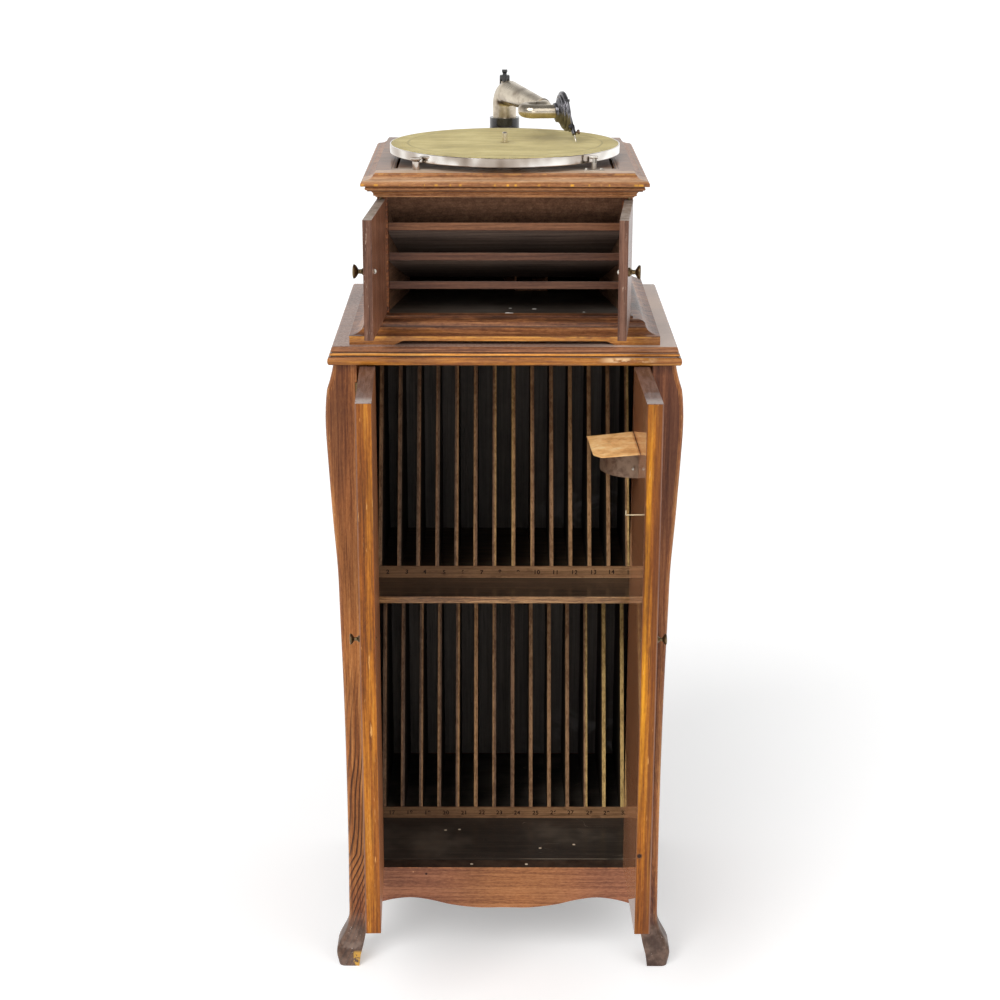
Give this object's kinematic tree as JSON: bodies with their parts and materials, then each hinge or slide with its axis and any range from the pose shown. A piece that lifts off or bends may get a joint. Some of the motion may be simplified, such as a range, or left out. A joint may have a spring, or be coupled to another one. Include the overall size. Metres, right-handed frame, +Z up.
{
  "type": "gramophone cabinet",
  "caption": "Wooden table gramophone with an inside slatted horn and open turntable, standing on a tall bow-legged record cabinet with hinged doors and numbered racks.",
  "frame": {"origin": "on the floor, at the middle of the bounding box with the doors at their pictured opening", "axes": "+X to the right seen from the front, +Y towards the back, +Z up"},
  "size_m": [0.4678, 0.587, 1.2018],
  "materials": {
    "oak": "varnished brown oak, semi-gloss, worn at the edges",
    "door_oak": "varnished oak, glossy, brighter orange front edges",
    "rack_wood": "plain wood with a thin stain",
    "dark_wood": "darkened and dusty wood, matt",
    "aged_brass": "tarnished brass",
    "brass": "brass, satin",
    "nickel": "nickel plate, warm, slightly worn",
    "steel": "turned steel",
    "spring_steel": "blued spring steel",
    "cast_iron": "grey cast iron",
    "black_enamel": "black stove enamel, glossy",
    "box_metal": "dark bronzed metal, satin",
    "tray_metal": "grey-brown painted sheet metal",
    "felt": "olive-yellow felt, worn",
    "card": "brown paper, creased"
  },
  "bodies": {
    "cabinet": {"cabinet_top": "oak", "cabinet_sides": "oak", "cabinet_back": "dark_wood", "cabinet_floor": "dark_wood", "record_shelf": "dark_wood", "front_left_leg": "door_oak", "front_right_leg": "door_oak", "rear_legs": "oak", "front_apron": "oak", "lower_rails": "oak", "upper_dividers": "rack_wood", "lower_dividers": "rack_wood", "number_strips": "rack_wood", "cabinet_hinges": "aged_brass", "case_base": "oak", "case_left_side": "oak", "case_right_side": "oak", "case_back": "dark_wood", "case_cornice": "oak", "motor_board": "rack_wood", "horn_floor": "dark_wood", "horn_boards": "dark_wood", "horn_slats": "oak", "horn_throat": "dark_wood", "flap_pivots": "aged_brass", "motor_frame": "cast_iron", "deck_screws": "steel", "crank_escutcheon": "aged_brass", "brake_plate": "steel", "tonearm_bracket": "black_enamel", "top_screw": "black_enamel"},
    "left_door": {"left_door": "door_oak", "left_door_knob": "aged_brass", "left_door_leaves": "aged_brass"},
    "right_door": {"right_door": "door_oak", "right_door_knob": "aged_brass", "right_door_leaves": "aged_brass", "needle_tray": "tray_metal", "paper_envelope": "card", "wire_hook": "steel"},
    "left_flap": {"left_flap": "door_oak", "left_flap_knob": "aged_brass"},
    "right_flap": {"right_flap": "door_oak", "right_flap_knob": "aged_brass"},
    "turntable": {"turntable": "nickel", "turntable_felt": "felt", "spindle": "steel"},
    "intermediate": {"intermediate_shaft": "steel"},
    "barrel": {"spring_barrel": "brass", "mainspring": "spring_steel"},
    "governor": {"governor": "brass"},
    "arbor": {"barrel_arbor": "steel"},
    "winding": {"winding_shaft": "steel"},
    "regulator": {"speed_regulator": "nickel"},
    "brake": {"brake_lever": "steel"},
    "tonearm": {"tonearm": "nickel"},
    "head": {"gooseneck": "nickel", "soundbox": "box_metal", "needle": "steel"},
    "needle_screw": {"needle_screw": "steel"}
  },
  "joints": [
    {"name": "left_door_swing", "type": "hinge", "parent": "cabinet", "child": "left_door", "pos_m": [-0.1885, -0.10583, 0.5], "axis": [0, 0, -1], "range_deg": [-88, 82]},
    {"name": "right_door_swing", "type": "hinge", "parent": "cabinet", "child": "right_door", "pos_m": [0.1885, -0.10583, 0.5], "axis": [0, 0, 1], "range_deg": [-91.2, 78.8]},
    {"name": "left_flap_swing", "type": "hinge", "parent": "cabinet", "child": "left_flap", "pos_m": [-0.1575, -0.05503, 0.996], "axis": [0, 0, -1], "range_deg": [-93, 77]},
    {"name": "right_flap_swing", "type": "hinge", "parent": "cabinet", "child": "right_flap", "pos_m": [0.1575, -0.05503, 0.996], "axis": [0, 0, 1], "range_deg": [-84.5, 85.5]},
    {"name": "turntable_spin", "type": "hinge", "parent": "cabinet", "child": "turntable", "pos_m": [0, 0.08147, 1.11], "axis": [0, 0, 1], "continuous": true},
    {"name": "intermediate_spin", "type": "hinge", "parent": "cabinet", "child": "intermediate", "pos_m": [0.02229, 0.10155, 1.06], "axis": [0, 0, 1], "continuous": true},
    {"name": "barrel_spin", "type": "hinge", "parent": "cabinet", "child": "barrel", "pos_m": [0.05804, 0.08147, 1.045], "axis": [0, 0, 1], "continuous": true},
    {"name": "governor_spin", "type": "hinge", "parent": "cabinet", "child": "governor", "pos_m": [-0.02598, 0.06647, 1.06], "axis": [0, 0, 1], "continuous": true},
    {"name": "arbor_wind", "type": "hinge", "parent": "cabinet", "child": "arbor", "pos_m": [0.05804, 0.08147, 1.03], "axis": [0, 0, 1], "continuous": true},
    {"name": "crank_wind", "type": "hinge", "parent": "cabinet", "child": "winding", "pos_m": [0.12, 0.08147, 1.0084], "axis": [1, 0, 0], "continuous": true},
    {"name": "regulator_turn", "type": "hinge", "parent": "cabinet", "child": "regulator", "pos_m": [-0.113, -0.03253, 1.112], "axis": [0, 0, 1], "range_deg": [-150, 150]},
    {"name": "brake_swing", "type": "hinge", "parent": "cabinet", "child": "brake", "pos_m": [0.113, -0.03653, 1.112], "axis": [0, 0, 1], "range_deg": [0, 55]},
    {"name": "tonearm_swing", "type": "hinge", "parent": "cabinet", "child": "tonearm", "pos_m": [0, 0.26047, 1.13], "axis": [0, 0, 1], "range_deg": [-12, 26]},
    {"name": "head_lift", "type": "hinge", "parent": "tonearm", "child": "head", "pos_m": [0.04138, 0.11355, 1.16457], "axis": [-0.9815, -0.1911, 0.01], "range_deg": [0, 105]},
    {"name": "needle_screw_turn", "type": "hinge", "parent": "head", "child": "needle_screw", "pos_m": [0.09119, 0.07797, 1.13756], "axis": [0.9747, 0.1824, 0.1291], "range_deg": [0, 360]}
  ],
  "couplings": [
    {"joint": "intermediate_spin", "follows": "turntable_spin", "ratio": -0.25},
    {"joint": "barrel_spin", "follows": "turntable_spin", "ratio": 0.034722},
    {"joint": "governor_spin", "follows": "turntable_spin", "ratio": -5},
    {"joint": "crank_wind", "follows": "arbor_wind", "ratio": -2.4}
  ]
}
